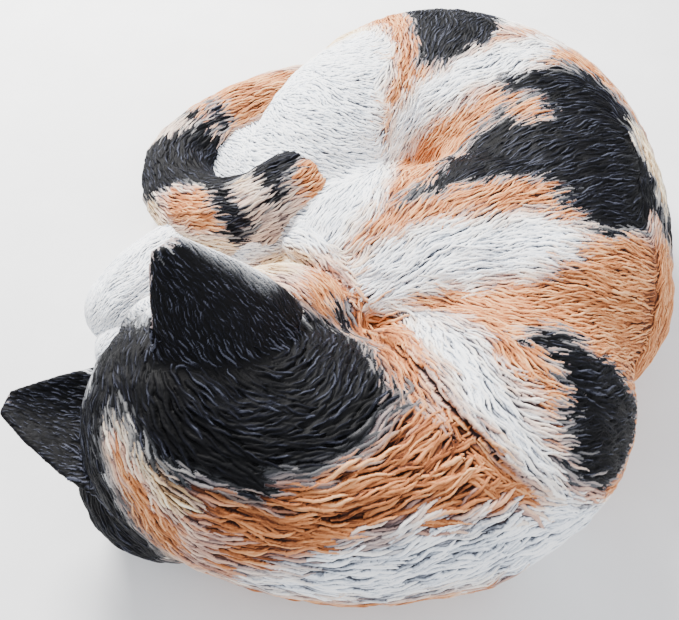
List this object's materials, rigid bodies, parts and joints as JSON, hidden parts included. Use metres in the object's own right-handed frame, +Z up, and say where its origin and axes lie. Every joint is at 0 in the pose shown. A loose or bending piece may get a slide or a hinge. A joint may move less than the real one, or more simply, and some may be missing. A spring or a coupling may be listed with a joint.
{
  "type": "curled cat figurine",
  "caption": "Life-like curled sleeping calico cat with fur carved in relief, hollow cast in sections, standing on felt pads.",
  "frame": {"origin": "centre of the figurine's bounding box, at the level that the felt pads stand on", "axes": "+Z up; +Y away from the near side, where the neck and the back of the head are; +X toward the cat's back, with the head at -X -Y, the rump at +Y and the tail at -X"},
  "size_m": [0.2864, 0.3084, 0.127],
  "materials": {
    "body_coat": "matt",
    "head_coat": "matt",
    "ear_coat": "matt",
    "tail_coat": "matt",
    "foot_coat": "matt",
    "bare_clay": "unglazed",
    "felt": "matt"
  },
  "bodies": {
    "root": {"torso_shell": "body_coat", "head_shell": "head_coat", "right_ear": "ear_coat", "left_ear": "ear_coat", "tail": "tail_coat", "right_hind_foot": "foot_coat", "left_hind_foot": "foot_coat", "right_front_paw": "foot_coat", "left_front_paw": "foot_coat", "base_tile": "bare_clay", "felt_pad_1": "felt", "felt_pad_2": "felt", "felt_pad_3": "felt", "felt_pad_4": "felt"}
  },
  "joints": []
}
